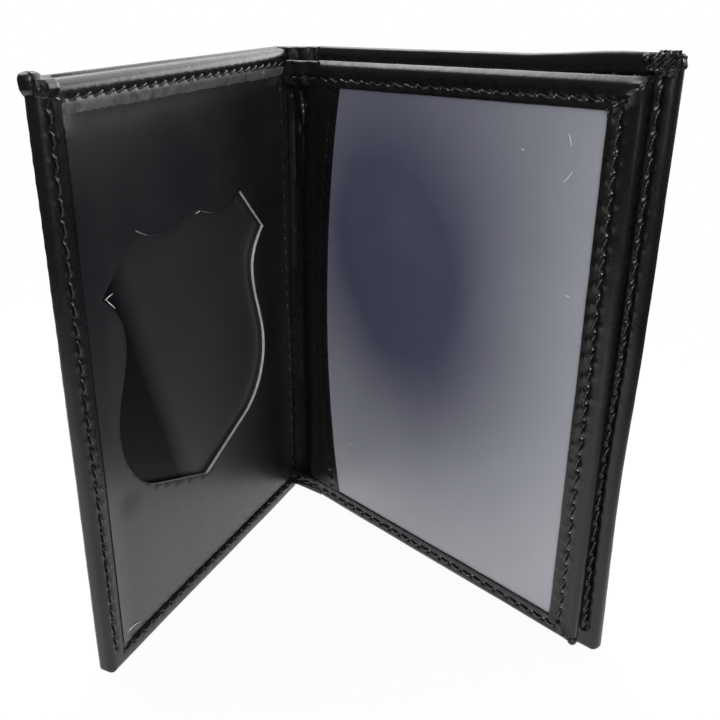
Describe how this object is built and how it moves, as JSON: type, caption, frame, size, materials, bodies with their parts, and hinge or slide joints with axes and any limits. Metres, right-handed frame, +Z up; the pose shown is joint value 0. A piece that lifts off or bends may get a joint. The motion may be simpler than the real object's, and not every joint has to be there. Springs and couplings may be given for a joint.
{
  "type": "id badge wallet",
  "caption": "Folding leather badge wallet with a shield-shaped badge cut-out, a turning leaf with clear ID windows and a pocket cover.",
  "frame": {"origin": "middle of the spine's lower edge, in the plane the wallet stands on", "axes": "+Z up along the spine; the left cover lies along -Y; +X runs along the spine from the left crease to the right crease"},
  "size_m": [0.084, 0.08, 0.108],
  "materials": {
    "black_leather": "satin",
    "lining": "matte",
    "board": "matte",
    "vinyl": "hazy",
    "divider": "matte"
  },
  "bodies": {
    "spine": {"spine_skin": "black_leather", "spine_lining": "lining"},
    "left_cover": {"left_cover_skin": "black_leather", "left_board": "board", "left_lining": "lining", "badge_backing": "lining", "badge_panel_core": "board", "badge_panel": "black_leather", "badge_panel_binding": "black_leather"},
    "leaf": {"leaf_gusset": "black_leather", "leaf_top_binding": "black_leather", "leaf_side_binding": "black_leather", "leaf_bottom_binding": "black_leather", "leaf_front_window": "vinyl", "leaf_divider": "divider", "leaf_back_window": "vinyl"},
    "right_cover": {"right_cover_skin": "black_leather", "right_board": "board", "right_lining": "lining", "right_pocket_panel": "black_leather", "right_pocket_binding": "black_leather"}
  },
  "joints": [
    {"name": "left_cover_fold", "type": "hinge", "parent": "spine", "child": "left_cover", "pos_m": [-0.0055, 0, 0], "axis": [0, 0, -1], "range_deg": [0, 180]},
    {"name": "leaf_turn", "type": "hinge", "parent": "spine", "child": "leaf", "pos_m": [0.0055, 0, 0], "axis": [0, 0, 1], "range_deg": [-66, 24]},
    {"name": "right_cover_fold", "type": "hinge", "parent": "leaf", "child": "right_cover", "pos_m": [0.0055, 0, 0], "axis": [0, 0, 1], "range_deg": [0, 90]}
  ]
}
